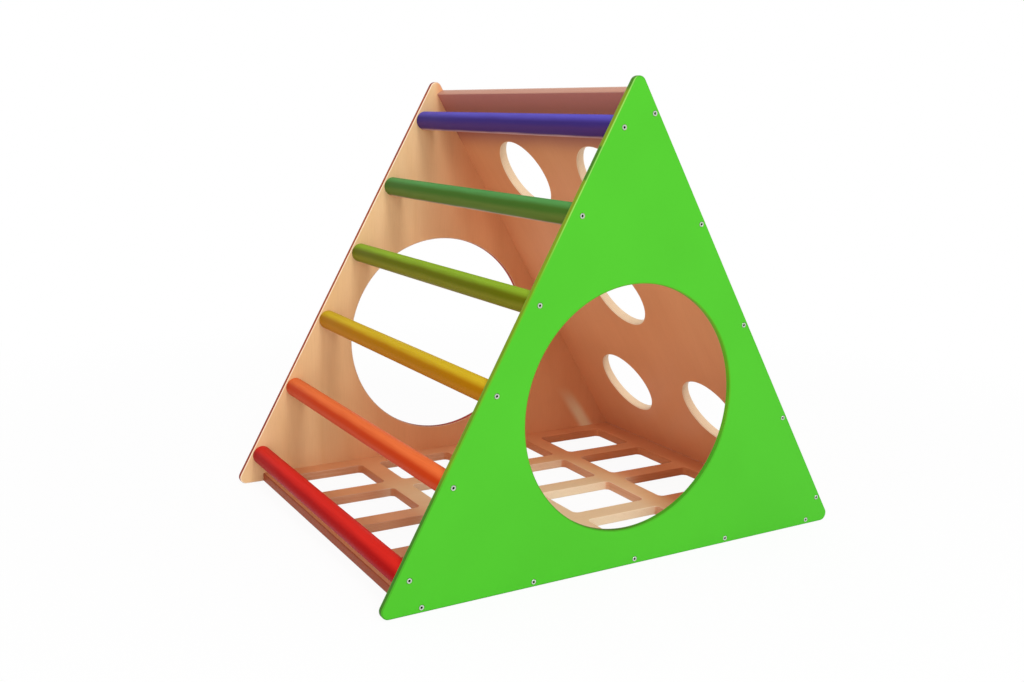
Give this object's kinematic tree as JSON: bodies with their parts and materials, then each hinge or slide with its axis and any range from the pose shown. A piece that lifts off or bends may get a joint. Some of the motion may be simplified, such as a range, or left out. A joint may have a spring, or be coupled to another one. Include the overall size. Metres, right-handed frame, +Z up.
{
  "type": "plywood climbing module",
  "caption": "Triangular plywood climbing module for children: two side panels with a big crawl hole, painted rungs, a back panel with round holes and a slotted floor.",
  "frame": {"origin": "on the ground, in the middle of the module's width and depth", "axes": "+X along the rungs, from the red side panel to the green one; +Y from the rungs to the back panel; +Z up"},
  "size_m": [0.75, 0.9796, 0.8569],
  "materials": {
    "green_paint": "bright green semi-gloss paint on birch plywood, inner face clear varnished",
    "red_paint": "red semi-gloss paint on birch plywood, inner face clear varnished",
    "orange_paint": "orange semi-gloss paint on a turned hardwood rung",
    "yellow_paint": "golden yellow semi-gloss paint on a turned hardwood rung",
    "lime_paint": "yellow-green semi-gloss paint on a turned hardwood rung",
    "dark_green_paint": "dark green semi-gloss paint on a turned hardwood rung",
    "blue_paint": "violet-blue semi-gloss paint on a turned hardwood rung",
    "birch_plywood": "clear varnished birch plywood",
    "steel": "bright zinc-plated steel"
  },
  "bodies": {
    "root": {"green_side_panel": "green_paint", "red_side_panel": "red_paint", "back_panel": "birch_plywood", "floor_panel": "birch_plywood", "red_rung": "red_paint", "orange_rung": "orange_paint", "yellow_rung": "yellow_paint", "lime_rung": "lime_paint", "green_rung": "dark_green_paint", "blue_rung": "blue_paint", "green_screw_red_rung": "steel", "green_screw_orange_rung": "steel", "green_screw_yellow_rung": "steel", "green_screw_lime_rung": "steel", "green_screw_green_rung": "steel", "green_screw_blue_rung": "steel", "green_screw_back_1": "steel", "green_screw_back_2": "steel", "green_screw_back_3": "steel", "green_screw_back_4": "steel", "green_screw_back_5": "steel", "green_screw_floor_1": "steel", "green_screw_floor_2": "steel", "green_screw_floor_3": "steel", "green_screw_floor_4": "steel", "green_screw_floor_5": "steel", "red_screw_red_rung": "steel", "red_screw_orange_rung": "steel", "red_screw_yellow_rung": "steel", "red_screw_lime_rung": "steel", "red_screw_green_rung": "steel", "red_screw_blue_rung": "steel", "red_screw_back_1": "steel", "red_screw_back_2": "steel", "red_screw_back_3": "steel", "red_screw_back_4": "steel", "red_screw_back_5": "steel", "red_screw_floor_1": "steel", "red_screw_floor_2": "steel", "red_screw_floor_3": "steel", "red_screw_floor_4": "steel", "red_screw_floor_5": "steel"}
  },
  "joints": []
}
